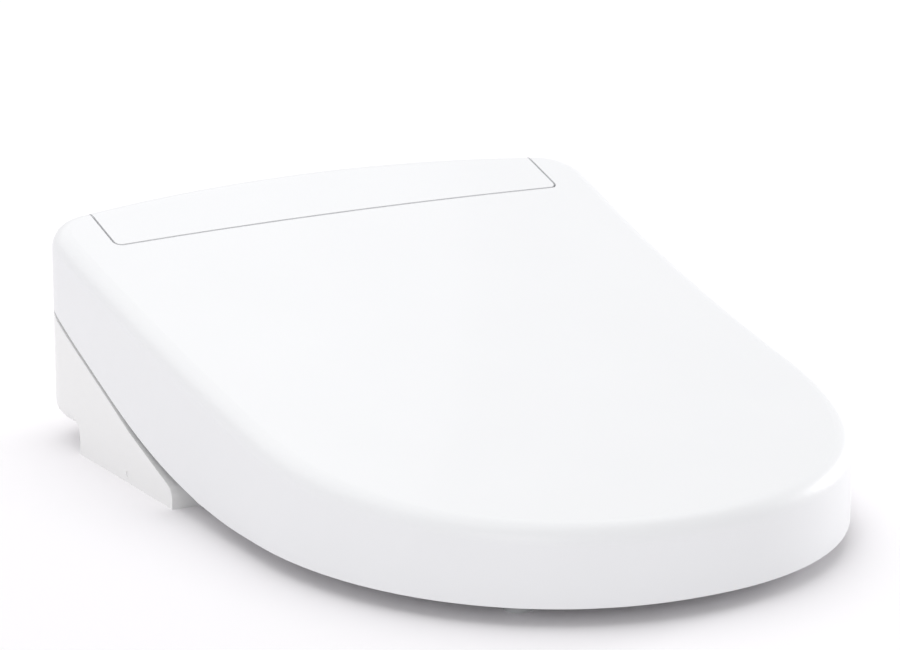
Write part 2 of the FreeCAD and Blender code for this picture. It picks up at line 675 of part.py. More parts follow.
def add_slot(sketch, centre, reach, radius):
    """A slot along X in a sketch: two arcs and two lines."""
    first = sketch.GeometryCount
    ends = [Vector(centre - reach, 0), Vector(centre + reach, 0)]
    half_turn = math.pi / 2
    arcs = [(ends[0], half_turn, 3 * half_turn), (ends[1], -half_turn, half_turn)]
    for spot, start, end in arcs:
        circle = Part.Circle(spot, Vector(0, 0, 1), radius)
        sketch.addGeometry(Part.ArcOfCircle(circle, start, end), False)
    for level in (radius, -radius):
        line = Part.LineSegment(Vector(centre - reach, level), Vector(centre + reach, level))
        sketch.addGeometry(line, False)
    joints = [(0, 1, 2, 1), (0, 2, 3, 1), (1, 2, 2, 2), (1, 1, 3, 2)]
    for a, a_end, b, b_end in joints:
        sketch.addConstraint(Sketcher.Constraint("Coincident", first + a, a_end, first + b, b_end))
    sketch.addConstraint(Sketcher.Constraint("Horizontal", first + 2))
    sketch.addConstraint(Sketcher.Constraint("Horizontal", first + 3))
    sketch.addConstraint(Sketcher.Constraint("Radius", first, radius))
    sketch.renameConstraint(sketch.ConstraintCount - 1, f"radius{first}")
    sketch.setExpression(f"Constraints.radius{first}", "dims.bolt_slot_radius")
    for arc in (0, 1):
        sketch.addConstraint(Sketcher.Constraint("DistanceX", -1, 1, first + arc, 3, ends[arc].x))
        name = f"place{first + arc}"
        sketch.renameConstraint(sketch.ConstraintCount - 1, name)
        side, end = ("-" if centre < 0 else ""), ("-" if arc == 0 else "+")
        text = f"{side}dims.bolt_spacing/2{end}(dims.bolt_slot/2-dims.bolt_slot_radius)"
        sketch.setExpression("Constraints." + name, text)
    sketch.addConstraint(Sketcher.Constraint("PointOnObject", first, 3, -1))


def mounting():
    """Plate, its rails that the unit slides on, and its grip pads."""
    node(base_plate(), "base_plate")
    things = []
    for side, low in (("Left", "-plate_length/2"), ("Right", "plate_length/2-rail_thick")):
        things.append(block("Rail" + side, ("rail_thick", "plate_width", "rail_height-plate_thick"),
                            (low, "-plate_width/2", "plate_thick")))
    node(group("Rails", *things), "plate_rails")


def tilted(thing):
    """Put a piece made along the wand into the wand's frame."""
    thing.Placement = wand_frame()
    bind(thing, {"Placement.Base.y": "-hood_front-2", "Placement.Base.z": "wand_exit"})
    return thing


def wand():
    """The spray wand: tube, tip, and the rack that drives it."""
    tube = rod("WandTubeBody", "wand_radius", "wand_length-14", ("0", "14", "0"), "y")
    bore = rod("WandBore", "wand_radius-2", "wand_length", ("0", "10", "0"), "y")
    node(tilted(cut("WandTube", tube, bore)), "wand_tube")
    tip = rod("TipBody", "wand_radius", "14", ("0", "0", "0"), "y")
    jets = [rod(f"Jet{i}", "0.9", "6", ("0", f"{y}", "wand_radius-4")) for i, y in enumerate((4, 8))]
    hollow = rod("TipBore", "wand_radius-2", "12", ("0", "3", "0"), "y")
    node(tilted(cut("WandTip", tip, hollow, *jets)), "wand_tip")


def involute_half(angle_at_base, base, radius):
    """Polar angle of an involute flank at a radius."""
    roll = math.sqrt(max((radius / base) ** 2 - 1, 0))
    return angle_at_base - (roll - math.atan(roll))


def rack_and_pinion():
    """Rack on the wand's back and the pinion in mesh with it."""
    module, teeth = dim("gear_module"), int(dim("pinion_teeth"))
    pitch, play, width = math.pi * module, dim("gear_play"), dim("rack_width")
    line = dim("rack_pitch_line")
    place_y = dim("pinion_place")
    slant = math.tan(math.radians(20.0))
    top, root = module, 1.25 * module
    half = pitch / 4 - play / 2
    start_y, end_y = 16.0, dim("wand_length") - 2.0
    first = math.ceil((start_y + pitch - place_y) / pitch)
    last = math.floor((end_y - pitch - place_y) / pitch)
    points = [(start_y, dim("wand_radius") - 1.0), (start_y, line - root)]
    for k in range(first, last + 1):
        y = place_y + k * pitch
        for dy, dz in ((-half - slant * root, -root), (-half + slant * top, top),
                       (half - slant * top, top), (half + slant * root, -root)):
            points.append((y + dy, line + dz))
    points += [(end_y, line - root), (end_y, dim("wand_radius") - 1.0)]
    spots = [Vector(-width / 2, y, z) for y, z in points]
    rack = Part.Face(Part.makePolygon(spots + spots[:1])).extrude(Vector(width, 0, 0))
    rack = rack.cut(Part.makeCylinder(dim("wand_radius"), 400.0, Vector(0, -100, 0), Vector(0, 1, 0)))
    node(tilted(coded("WandRack", rack)), "wand_rack")

    radius = module * teeth / 2
    base = radius * math.cos(math.radians(20.0))
    tip, low = radius + top, radius - root
    flat = (pitch / 2 - play) / (2 * radius)
    roll = math.sqrt((radius / base) ** 2 - 1)
    at_base = flat + (roll - math.atan(roll))
    centre = Vector(-width / 2, place_y, line + radius)
    steps = [low, base, (base + radius) / 2, radius, (radius + tip) / 2, tip]
    profile = []
    for k in range(teeth):
        middle = math.radians(-90.0) + (k + 0.5) * 2 * math.pi / teeth
        for sign, radii in ((-1, steps), (1, steps[::-1])):
            for r in radii:
                lean = at_base if r <= base else involute_half(at_base, base, r)
                angle = middle + sign * lean
                profile.append(centre + Vector(0, r * math.cos(angle), r * math.sin(angle)))
    pinion = Part.Face(Part.makePolygon(profile + profile[:1])).extrude(Vector(width, 0, 0))
    axle = Part.makeCylinder(1.5, width + 30.0, centre - Vector(2, 0, 0), Vector(1, 0, 0))
    node(tilted(coded("WandPinion", pinion.fuse(axle).removeSplitter())), "wand_pinion")


def wand_guide():
    """The channel that the wand slides in, and the motor beside it."""
    body = block("GuideBody", ("30", "wand_length-24", "21"), ("-15", "12", "-12"))
    bore = rod("GuideBore", "wand_radius+guide_gap", "wand_length+20", ("0", "0", "0"), "y")
    slot = block("GuideSlot", ("rack_width+1", "wand_length+20", "20"), ("-rack_width/2-0.5", "0", "0"))
    node(tilted(cut("WandGuide", body, bore, slot)), "wand_guide")
    centre = "rack_pitch_line+gear_module*pinion_teeth/2"
    motor = rod("MotorBody", "9.4", "18", ("15", "pinion_place", centre), "x")
    shaft = rod("MotorHole", "1.5+run_gap", "30", ("rack_width/2+2", "pinion_place", centre), "x")
    node(tilted(cut("WandMotor", motor, shaft)), "wand_motor")
    foot = block("StandBody", ("26", "8", "62"), ("-13", "8", "underside+floor"))
    blank = group("StandCut", block("StandBlank", ("60", "400", "80"), ("-30", "-100", "-12")))
    node(cut("GuideStand", foot, tilted(blank)), "guide_stand")


def water_parts():
    """Inlet, valve, heater tank, selector, drain knob and the hoses between them."""
    floor = "underside+floor"
    x, y = INLET
    stub = rod("InletStub", "inlet_radius", "inlet_length+1", (x, y, "underside-inlet_length"))
    shoulder = rod("InletShoulder", "inlet_shoulder", "floor+1", (x, y, "underside"))
    head = rod("InletHead", "inlet_shoulder+2", "13", (x, y, floor))
    bore = rod("InletBore", "6.5", "24", (x, y, "underside-inlet_length-1"))
    node(cut("WaterInlet", fuse("InletBody", stub, shoulder, head), bore), "water_inlet")
    valve = block("ValveBody", ("26", "30", "16"), ("-150", "-26", floor))
    coil = rod("ValveCoil", "9", "20", ("-137", "-11", "underside+floor+16"))
    node(fuse("Valve", valve, coil), "solenoid_valve")
    shell = block("TankShell", ("tank_length", "tank_width", "tank_height"), ("-144", "-92", floor))
    water = block("TankSpace", ("tank_length-6", "tank_width-6", "tank_height-6"),
                  ("-141", "-89", "underside+floor+3"))
    node(cut("HeaterTank", shell, water), "heater_tank")
    node(block("HeaterPlate", ("tank_length-20", "3", "tank_height-20"),
               ("-134", "-92+tank_width/2", "underside+floor+10")), "tank_heater")
    spindle = rod("SelectorBody", "15", "26", ("-62", "-6", floor))
    cap = rod("SelectorMotor", "11", "20", ("-62", "-6", "underside+floor+26"))
    node(fuse("Selector", spindle, cap), "flow_selector")
    knob = rod("DrainBody", "9", "10", DRAIN + ("underside-7",))
    slot = block("DrainSlot", ("12", "2.4", "3"), (f"{DRAIN[0]}-6", f"{DRAIN[1]}-1.2", "underside-8"))
    node(cut("DrainKnob", knob, slot), "drain_knob")


def hose(name, label, points, radius):
    """A hose on straight runs joined by arcs."""
    spots, edges = [Vector(*p) for p in points], []
    last = spots[0]
    for before, spot, after in zip(spots, spots[1:], spots[2:]):
        one, two = before - spot, after - spot
        run = 0.45 * min(one.Length, two.Length)
        one.normalize()
        two.normalize()
        start, end = spot + one * run, spot + two * run
        middle = one + two
        middle.normalize()
        angle = one.getAngle(two)
        bend = run * math.tan(angle / 2)
        bow = spot + middle * (bend / math.sin(angle / 2) - bend)
        edges += [Part.LineSegment(last, start).toShape(), Part.Arc(start, bow, end).toShape()]
        last = end
    edges.append(Part.LineSegment(last, spots[-1]).toShape())
    path = Part.Wire(edges)
    way = spots[1] - spots[0]
    ends = [Part.Wire(Part.makeCircle(r, spots[0], way)) for r in (radius, radius - 1.2)]
    outer, inner = [path.makePipeShell([end], True, True) for end in ends]
    node(coded(name, outer.cut(inner)), label)


def hoses():
    """The three hoses of the water path."""
    top = dim("underside") + dim("floor")
    r = dim("hose_radius")
    x, y = INLET
    hose("InletHose", "inlet_hose", [(x, y, top + 13.0), (x, y, top + 34.0), (x - 9, 8.0, top + 40.0),
         (-137.0, -11.0, top + 56.0), (-137.0, -11.0, top + 36.0)], r)
    hose("TankHose", "tank_hose", [(-128.0, -26.0, top + 8.0), (-128.0, -38.0, top + 8.0)], r)
    hose("SelectorHose", "selector_hose", [(-56.0, -60.0, top + 24.0), (-44.0, -60.0, top + 24.0),
         (-36.0, -36.0, top + 18.0), (-38.0, -6.0, top + 12.0), (-47.0, -6.0, top + 12.0)], r)


def air_parts():
    """Dryer fan, its rotor, duct, heater and flap."""
    floor, x, y = "underside+floor", "95", "-14"
    shell = rod("FanShell", "fan_radius", "fan_height", (x, y, floor))
    space = rod("FanSpace", "fan_radius-2", "fan_height-4", (x, y, "underside+floor+2"))
    inlet = rod("FanInlet", "13", "10", (x, y, "underside+floor+fan_height-6"))
    mouth = block("FanMouth", ("duct_width-2*duct_wall", "20", "duct_height-2*duct_wall"),
                  ("95-duct_width/2+duct_wall", "-54", "underside+floor+5+duct_wall"))
    node(cut("FanHousing", shell, space, inlet, mouth), "dryer_fan_housing")
    hub = rod("RotorHub", "9", "20", (x, y, "underside+floor+6"))
    disc = rod("RotorDisc", "fan_radius-6", "2", (x, y, "underside+floor+6"))
    blades = []
    for i in range(12):
        turn = 30.0 * i
        inner = Rotation(Vector(0, 0, 1), turn).multVec(Vector(14.0, 0, 0))
        blade = doc.addObject("Part::Box", f"Blade{i}")
        bind(blade, {"Length": "fan_radius-21", "Width": "1.2", "Height": "fan_height-16"})
        blades.append(place(blade, (95 + inner.x, -14 + inner.y, "underside+floor+8"),
                            ((0, 0, 1), turn)))
    node(fuse("Rotor", hub, disc, *blades), "dryer_rotor")
    outer = block("DuctOuter", ("duct_width", "hood_front-2.8-46", "duct_height"),
                  ("95-duct_width/2", "-hood_front+hood_wall+0.3", "underside+floor+5"))
    inner = block("DuctInner", ("duct_width-2*duct_wall", "200", "duct_height-2*duct_wall"),
                  ("95-duct_width/2+duct_wall", "-150", "underside+floor+5+duct_wall"))
    ball = rod("DuctCut", "fan_radius", "80", (x, y, "0"))
    node(cut("Duct", outer, inner, ball), "dryer_duct")
    fins = [block(f"Fin{i}", ("1", "16", "duct_height-2*duct_wall"),
                  (f"{78 + 5 * i}", "-72", "underside+floor+5+duct_wall")) for i in range(7)]
    bar = block("FinBar", ("34", "2", "2"), ("77.5", "-65", "underside+floor+16"))
    node(fuse("DryerHeater", bar, *fins), "dryer_heater")
    flap = block("FlapBody", ("40", "1.6", "16"), ("75", "-hood_front+0.4", "34.2"))
    pin = rod("FlapPin", "1.2", "41", ("74.5", "-hood_front+1.2", "49.6"), "x")
    node(fuse("Flap", flap, pin), "dryer_flap")


def odour_parts():
    """Odour fan and its slide-out cartridge."""
    floor = "underside+floor"
    shell = rod("OdourShell", "15", "20", ("92", "32", floor))
    space = rod("OdourSpace", "13.5", "17", ("92", "32", "underside+floor+1.6"))
    eye = rod("OdourEye", "7", "10", ("92", "32", "underside+floor+15"))
    node(cut("OdourFan", shell, space, eye), "odour_fan_housing")
    hub = rod("OdourHub", "4", "13", ("92", "32", "underside+floor+3"))
    vanes = [block("VaneLong", ("24", "1.4", "10"), ("80", "31.3", "underside+floor+4")),
             block("VaneWide", ("1.4", "24", "10"), ("91.3", "20", "underside+floor+4"))]
    node(fuse("OdourRotor", hub, *vanes), "odour_rotor")
    y, z = CARTRIDGE
    shell = block("CartridgeShell", ("cartridge_depth", "cartridge_length", "cartridge_height"),
                  (CONTROL_SIDE + "-control_sink-cartridge_depth", y, z))
    holes = [block(f"Grid{i}", ("cartridge_depth-8", "3", "40"),
                   (CONTROL_SIDE + "+3.05-cartridge_depth", f"{y + 4 + 6 * i}", f"{z - 10}"))
             for i in range(5)]
    node(cut("Cartridge", shell, *holes), "odour_cartridge")


def boards():
    """Power and control boards with their tall parts."""
    board = block("PowerBoard", ("board_thick", "84", "50"), ("146", "-92", "underside+floor"))
    tall = [block(f"PowerPart{i}", ("14", f"{w}", f"{t}"), ("132", f"{y}", f"{z}"))
            for i, (y, z, w, t) in enumerate(((-88, 32, 22, 26), (-60, 34, 18, 20), (-36, 40, 20, 26)))]
    node(fuse("Power", board, *tall), "power_board")
    board = block("ControlBoard", ("80", "46", "board_thick"),
                  ("-140", "-88", "underside+floor+tank_height+6"))
    tall = [block(f"ControlPart{i}", (f"{w}", f"{d}", "6"), (f"{x}", f"{y}",
                  "underside+floor+tank_height+6+board_thick"))
            for i, (x, y, w, d) in enumerate(((-134, -82, 16, 16), (-104, -76, 22, 10), (-74, -80, 8, 28)))]
    posts = [rod(f"Post{i}", "2.5", "6", (x, y, "underside+floor+tank_height"))
             for i, (x, y) in enumerate(((-136, -84), (-64, -84), (-136, -46), (-64, -46)))]
    node(fuse("Control", board, *tall, *posts), "control_board")


def release_parts():
    """The release button, its spring, and the latch that holds the unit on its plate."""
    y, z = BUTTON
    cap = rod("ButtonCap", "button_radius", "6", (CONTROL_SIDE + "-control_sink-6", y, z), "x")
    stem = rod("ButtonStem", "2.5", "12", (CONTROL_SIDE + "-control_sink-18", y, z), "x")
    node(fuse("Button", cap, stem), "release_button")
    low, high = dim("hood_half") + dim("fit_gap") + dim("case_wall") + 12.0, side_at("control_flare")
    high -= dim("control_sink") + 6.1
    node(coded("Spring", coil(low, high, 4.6, 0.6, 4)), "button_spring")
    seat = block("SpringSeat", ("3", "14", "14"), ("hood_half+fit_gap+case_wall+8.8", f"{y - 7}", f"{z - 7}"))
    arm = block("SpringArm", ("9", "8", "6"), ("hood_half+fit_gap+case_wall", f"{y - 4}", f"{z - 7}"))
    hole = rod("StemHole", "2.5+run_gap*2", "30", ("hood_half", y, z), "x")
    node(cut("Latch", fuse("LatchBody", seat, arm), hole), "spring_seat")


def coil(low, high, radius, wire, turns):
    """Closed rings of wire in a row: a coil spring at this scale."""
    y, z = BUTTON
    rings = []
    for i in range(turns):
        x = low + wire + (high - low - 2 * wire) * i / (turns - 1)
        rings.append(Part.makeTorus(radius, wire, Vector(x, y, z), Vector(1, 0, 0)))
    bars = [Part.makeCylinder(wire * 0.8, high - low - 2 * wire, Vector(low + wire, y + s * radius, z),
                              Vector(1, 0, 0)) for s in (-1, 1)]
    shape = rings[0].fuse(rings[1:] + bars)
    return shape


def trims():
    """Cord gland, side plug, case screws, feet and plate pads."""
    x, y = GLAND
    collar = rod("GlandCollar", "gland_radius", "6", (x, y, "underside-1.5"))
    flange = rod("GlandFlange", "gland_radius+3", "2", (x, y, "underside+floor"))
    hole = rod("GlandHole", "3.6", "30", (x, y, "underside-10"))
    node(cut("Gland", fuse("GlandBody", collar, flange), hole), "cord_gland")
    plug_y, plug_z = PLUG
    node(rod("Plug", "plug_radius", "3.4", ("0.35-(" + PLUG_SIDE + ")", plug_y, plug_z), "x"), "side_plug")
    screws = []
    for i, (x, y) in enumerate(CASE_SCREWS):
        head = rod(f"Head{i}", "screw_head_radius", "2", (x, y, "underside-2"))
        shank = rod(f"Shank{i}", "screw_radius", "15", (x, y, "underside-1"))
        screws.append(fuse(f"Screw{i}", head, shank))
    node(group("CaseScrews", *screws), "case_screws")
    pads = []
    long, wide, deep = FOOT_SIZE
    for i, (x, y) in enumerate(FEET):
        pads.append(block(f"Foot{i}", FOOT_SIZE, (x - long / 2, y - wide / 2, "0")))
    node(group("Feet", *pads), "unit_feet")


SEAT_STOPS = [(s * x, -y) for s in (-1, 1) for x, y in ((146.0, 200.0), (92.0, 408.0))]
LID_STOPS = [(s * x, -y) for s in (-1, 1) for x, y in ((150.0, 170.0), (100.0, 400.0))]


def seat_parts():
    """Seat shells, heater sheet, stops and screws."""
    node(seat_top(), "seat_top")
    node(seat_base(), "seat_base")
    arms = [seat_arm(-1), seat_arm(1)]
    node(coded("SeatArmLeft", arms[0]), "seat_arm_left")
    node(coded("SeatArmRight", arms[1]), "seat_arm_right")
    wall, inset = dim("seat_wall"), dim("seat_inset")
    heater = column(inset + 14.0, -20.0, 200.0).cut(opening(14.0, -30.0, 210.0))
    heater = heater.cut(box_shape((-WIDE, -dim("seat_rear") - 22.0, -50.0), (WIDE, 200.0, 300.0)))
    heater = heater.common(below_seat(wall)).cut(below_seat(wall + 0.6)).cut(arch(wall + 4.0))
    node(coded("SeatHeater", heater.removeSplitter()), "seat_heater")
    ground = box_shape((-WIDE, -600.0, -100.0), (WIDE, 200.0, 0.0))
    node(bumpers("SeatStops", SEAT_STOPS, dim("bumper_radius"), seat_under(0), ground), "seat_stops")


def lid_parts():
    """The lid's shell and its stops."""
    node(lid_shell(), "lid_shell")
    under = below_lid(dim("lid_wall") + 0.2)
    node(bumpers("LidStops", LID_STOPS, dim("bumper_radius") - 2, under, below_seat(-0.4)), "lid_stops")


def unit_parts():
    """The unit's mouldings."""
    node(lower_case(), "lower_case")
    node(upper_case(), "upper_case")
    node(rear_cover(), "rear_cover")


def build():
    """Make every sub-part."""
    mounting()
    unit_parts()
    seat_parts()
    lid_parts()
    hinge_parts()
    drives()
    wand()
    rack_and_pinion()
    wand_guide()
    water_parts()
    hoses()
    air_parts()
    odour_parts()
    boards()
    release_parts()
    trims()


def check_and_write():
    """Refuse a failed object or shape, then write each sub-part."""
    doc.recompute()
    for thing in doc.Objects:
        if "Invalid" in thing.State or "Error" in thing.State:
            raise RuntimeError(f"{thing.Name} ({thing.Label}) failed: {thing.getStatusString()}")
    for thing in nodes:
        if thing.Shape.isNull() or not thing.Shape.isValid():
            raise RuntimeError(f"{thing.Label} has a bad shape")
    os.makedirs("parts", exist_ok=True)
    for thing in nodes:
        thing.Shape.exportStep(os.path.join("parts", thing.Label + ".step"))


build()
check_and_write()
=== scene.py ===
"""Washing seat for a toilet: the finishes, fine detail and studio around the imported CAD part."""

import json  # noqa: E402
import math  # noqa: E402

import bmesh  # noqa: E402
import bpy  # noqa: E402
from bpy.props import FloatProperty, FloatVectorProperty, PointerProperty  # noqa: E402
from mathutils import Matrix, Vector  # noqa: E402

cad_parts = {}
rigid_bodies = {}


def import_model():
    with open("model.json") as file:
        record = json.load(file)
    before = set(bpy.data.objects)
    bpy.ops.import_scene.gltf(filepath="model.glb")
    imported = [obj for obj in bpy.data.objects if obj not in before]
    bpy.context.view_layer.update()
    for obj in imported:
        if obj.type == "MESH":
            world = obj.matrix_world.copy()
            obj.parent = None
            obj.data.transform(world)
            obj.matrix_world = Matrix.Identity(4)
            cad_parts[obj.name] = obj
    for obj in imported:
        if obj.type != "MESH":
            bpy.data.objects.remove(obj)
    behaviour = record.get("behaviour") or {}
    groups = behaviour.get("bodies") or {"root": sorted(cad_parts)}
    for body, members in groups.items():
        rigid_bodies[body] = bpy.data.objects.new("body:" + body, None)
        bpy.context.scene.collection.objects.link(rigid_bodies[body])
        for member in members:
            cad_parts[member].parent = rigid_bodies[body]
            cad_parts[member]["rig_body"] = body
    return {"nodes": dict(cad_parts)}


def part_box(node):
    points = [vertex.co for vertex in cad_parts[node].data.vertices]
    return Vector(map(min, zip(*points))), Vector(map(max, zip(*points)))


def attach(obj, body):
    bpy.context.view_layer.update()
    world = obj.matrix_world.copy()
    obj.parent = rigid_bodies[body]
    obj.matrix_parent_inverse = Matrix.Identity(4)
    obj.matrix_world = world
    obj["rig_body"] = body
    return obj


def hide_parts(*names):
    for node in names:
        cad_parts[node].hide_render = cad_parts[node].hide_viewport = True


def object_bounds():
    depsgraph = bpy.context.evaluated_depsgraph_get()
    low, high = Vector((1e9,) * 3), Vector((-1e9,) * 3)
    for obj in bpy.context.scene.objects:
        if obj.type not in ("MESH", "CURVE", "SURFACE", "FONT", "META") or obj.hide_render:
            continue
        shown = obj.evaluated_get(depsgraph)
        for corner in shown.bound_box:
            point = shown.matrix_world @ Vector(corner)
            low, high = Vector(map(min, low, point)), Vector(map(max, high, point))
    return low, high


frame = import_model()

bl_info = {
    "name": "Washing Seat",
    "version": (1, 0, 0),
    "blender": (4, 5, 0),
    "location": "3D View > Sidebar > Seat",
    "description": "Finishes and studio for a toilet seat with a washing wand",
    "category": "Object",
}

CAD_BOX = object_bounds()
MERGE = 1e-6
MM = 0.001
SHARP_ANGLE = math.radians(35)


# ---- colours and sizes a user may change ----

def colour(name, description, value):
    """A colour that a user may change."""
    return FloatVectorProperty(name=name, description=description, default=value,
                               subtype="COLOR", min=0.0, max=1.0)


class SeatFinishes(bpy.types.PropertyGroup):
    """The colours and surface sizes of the seat's finishes."""

    lid_white: colour("Lid white", "Gloss resin of the lid and rear cover", (0.835, 0.84, 0.855))
    case_white: colour("Case white", "Resin of the case below the lid", (0.84, 0.84, 0.84))
    ring_white: colour("Ring white", "Gloss resin of the seat ring", (0.87, 0.87, 0.88))
    inner_grey: colour("Inner grey", "Resin of the hidden housings", (0.46, 0.47, 0.49))
    rubber_grey: colour("Bumper grey", "Soft stops under the ring and lid", (0.52, 0.53, 0.54))
    peel_size: FloatProperty(name="Peel size", description="Width of one ripple in the gloss",
                             default=2.2 * MM, min=0.1 * MM, max=20 * MM,
                             subtype="DISTANCE", unit="LENGTH")
    grain_size: FloatProperty(name="Grain size", description="Width of one grain in the matt",
                              default=0.6 * MM, min=0.1 * MM, max=5 * MM,
                              subtype="DISTANCE", unit="LENGTH")
    inlet_crest: FloatProperty(name="Inlet crest", description="Radius of the inlet's thread",
                               default=10.45 * MM, min=5 * MM, max=20 * MM,
                               subtype="DISTANCE", unit="LENGTH")
    thread_pitch: FloatProperty(name="Thread pitch", description="From crest to crest",
                                default=1.814 * MM, min=0.5 * MM, max=4 * MM,
                                subtype="DISTANCE", unit="LENGTH")
    thread_depth: FloatProperty(name="Thread depth", description="From crest to root",
                                default=1.16 * MM, min=0.2 * MM, max=3 * MM,
                                subtype="DISTANCE", unit="LENGTH")
    floor_height: FloatProperty(name="Floor height", description="Case floor above the bowl",
                                default=20 * MM, min=5 * MM, max=60 * MM,
                                subtype="DISTANCE", unit="LENGTH")
    surround_rim: FloatProperty(name="Surround rim", description="Width of a mouth's frame",
                                default=2.0 * MM, min=0.5 * MM, max=6 * MM,
                                subtype="DISTANCE", unit="LENGTH")
    surround_proud: FloatProperty(name="Surround proud", description="Thickness of that frame",
                                  default=1.0 * MM, min=0.3 * MM, max=3 * MM,
                                  subtype="DISTANCE", unit="LENGTH")
    surround_sink: FloatProperty(name="Surround sink", description="How deep it sits in the wall",
                                 default=0.2 * MM, min=0.0, max=1 * MM,
                                 subtype="DISTANCE", unit="LENGTH")
    surround_gap: FloatProperty(name="Surround gap", description="Free space round the flap",
                                default=1.2 * MM, min=0.5 * MM, max=5 * MM,
                                subtype="DISTANCE", unit="LENGTH")
    mouth_margin: FloatProperty(name="Mouth margin", description="Free space round the wand",
                                default=3.0 * MM, min=1 * MM, max=10 * MM,
                                subtype="DISTANCE", unit="LENGTH")
    edge_round: FloatProperty(name="Edge round", description="Radius of the small moulded edges",
                              default=0.5 * MM, min=0.05 * MM, max=2 * MM,
                              subtype="DISTANCE", unit="LENGTH")


def lamp_place(name, value):
    """Where a light stands."""
    return FloatVectorProperty(name=name, description="Where that light stands", default=value,
                               subtype="XYZ", unit="LENGTH")


def lamp_size(name, description, value):
    """The size of a light, in metres."""
    return FloatProperty(name=name, description=description, default=value, min=0.01, max=10.0,
                         subtype="DISTANCE", unit="LENGTH")


def lamp_power(name, description, value):
    """The power of a light, in watts."""
    return FloatProperty(name=name, description=description, default=value, min=0.0, max=500.0,
                         subtype="POWER", unit="POWER")


class SeatStudio(bpy.types.PropertyGroup):
    """The camera, the lights and the floor."""

    azimuth: FloatProperty(name="Azimuth", description="Camera's turn round the seat",
                           default=math.radians(-28.435), subtype="ANGLE", unit="ROTATION")
    elevation: FloatProperty(name="Elevation", description="Camera's height above the horizon",
                             default=math.radians(15.973), subtype="ANGLE", unit="ROTATION")
    distance: FloatProperty(name="Distance", description="From the camera to its aim",
                            default=2.75, min=0.5, max=20.0, subtype="DISTANCE", unit="LENGTH")
    aim: FloatVectorProperty(name="Aim", description="The point that the camera looks at",
                             default=(0.0034, -0.1477, 0.0942), subtype="XYZ", unit="LENGTH")
    lens: FloatProperty(name="Lens", description="Focal length of the camera, millimetres",
                        default=171.36, min=20.0, max=400.0)
    sky: FloatProperty(name="Sky", description="Strength of the even light all round",
                       default=0.75, min=0.0, max=5.0)
    top_power: lamp_power("Top light", "Power of the large light overhead", 30.0)
    top_place: lamp_place("Top place", (-0.2, 0.65, 2.15))
    top_side: lamp_size("Top size", "Side of that square light", 3.6)
    side_power: lamp_power("Side light", "Power of the light on the left", 28.0)
    side_place: lamp_place("Side place", (-1.8, -2.3, 0.7))
    side_radius: lamp_size("Side size", "Radius of that round light", 0.9)
    rim_power: lamp_power("Rim light", "Power of the light behind, right", 88.0)
    rim_place: lamp_place("Rim place", (2.4, 0.1, 0.5))
    rim_radius: lamp_size("Rim size", "Radius of that round light", 0.4)


# ---- material building ----

class Recipe:
    """A new material whose patterns all read the piece's own coordinates."""

    def __init__(self, name, roughness, metallic=0.0):
        self.material = bpy.data.materials.new(name)
        self.material.use_nodes = True
        self.tree = self.material.node_tree
        self.shader = self.tree.nodes["Principled BSDF"]
        self.set("Roughness", roughness)
        self.set("Metallic", metallic)
        self.place = self.add("ShaderNodeTexCoord").outputs["Object"]

    def set(self, socket, value):
        """Sets one plain value of the shader."""
        self.shader.inputs[socket].default_value = value

    def add(self, kind, **settings):
        """A new node, with its settings."""
        node = self.tree.nodes.new(kind)
        for key, value in settings.items():
            setattr(node, key, value)
        return node

    def join(self, out, into):
        """Links an output to an input."""
        self.tree.links.new(out, into)

    def stretch(self, scale):
        """The piece's coordinates, stretched along its axes."""
        node = self.add("ShaderNodeMapping")
        node.inputs["Scale"].default_value = scale
        self.join(self.place, node.inputs["Vector"])
        return node.outputs["Vector"]

    def noise(self, size, detail=3.0, scale=None):
        """A noise with ripples of that width in metres."""
        node = self.add("ShaderNodeTexNoise")
        node.inputs["Scale"].default_value = 1.0 / size
        node.inputs["Detail"].default_value = detail
        self.join(self.stretch(scale) if scale else self.place, node.inputs["Vector"])
        return node.outputs["Fac"]

    def cells(self, size):
        """Rounded cells of that width in metres."""
        node = self.add("ShaderNodeTexVoronoi")
        node.inputs["Scale"].default_value = 1.0 / size
        self.join(self.place, node.inputs["Vector"])
        return node.outputs["Distance"]

    def bands(self, size, direction="X"):
        """Even bands of that width in metres."""
        node = self.add("ShaderNodeTexWave", bands_direction=direction)
        node.inputs["Scale"].default_value = 0.314 / size
        self.join(self.place, node.inputs["Vector"])
        return node.outputs["Fac"]

    def between(self, factor, low, high):
        """A number that runs from low to high with the factor."""
        node = self.add("ShaderNodeMapRange")
        node.inputs["To Min"].default_value = low
        node.inputs["To Max"].default_value = high
        self.join(factor, node.inputs["Value"])
        return node.outputs["Result"]

    def tint(self, factor, low, high):
        """The piece's colour, from low to high with the factor."""
        node = self.add("ShaderNodeMix", data_type="RGBA")
        node.inputs["A"].default_value = (*low, 1.0)
        node.inputs["B"].default_value = (*high, 1.0)
        self.join(factor, node.inputs["Factor"])
        self.join(node.outputs["Result"], self.shader.inputs["Base Color"])

    def vary_roughness(self, factor, low, high):
        """The piece's roughness, from low to high with the factor."""
        self.join(self.between(factor, low, high), self.shader.inputs["Roughness"])

    def relief(self, *layers):
        """Bumps, each (height, depth in metres), laid one over the other."""
        below = None
        for height, depth in layers:
            node = self.add("ShaderNodeBump")
            node.inputs["Strength"].default_value = 1.0
            node.inputs["Distance"].default_value = depth
            self.join(height, node.inputs["Height"])
            if below:
                self.join(below, node.inputs["Normal"])
            below = node.outputs["Normal"]
        self.join(below, self.shader.inputs["Normal"])


def shade(base, share):
    """The colour made that much lighter or darker."""
    return tuple(min(1.0, part * share) for part in base)


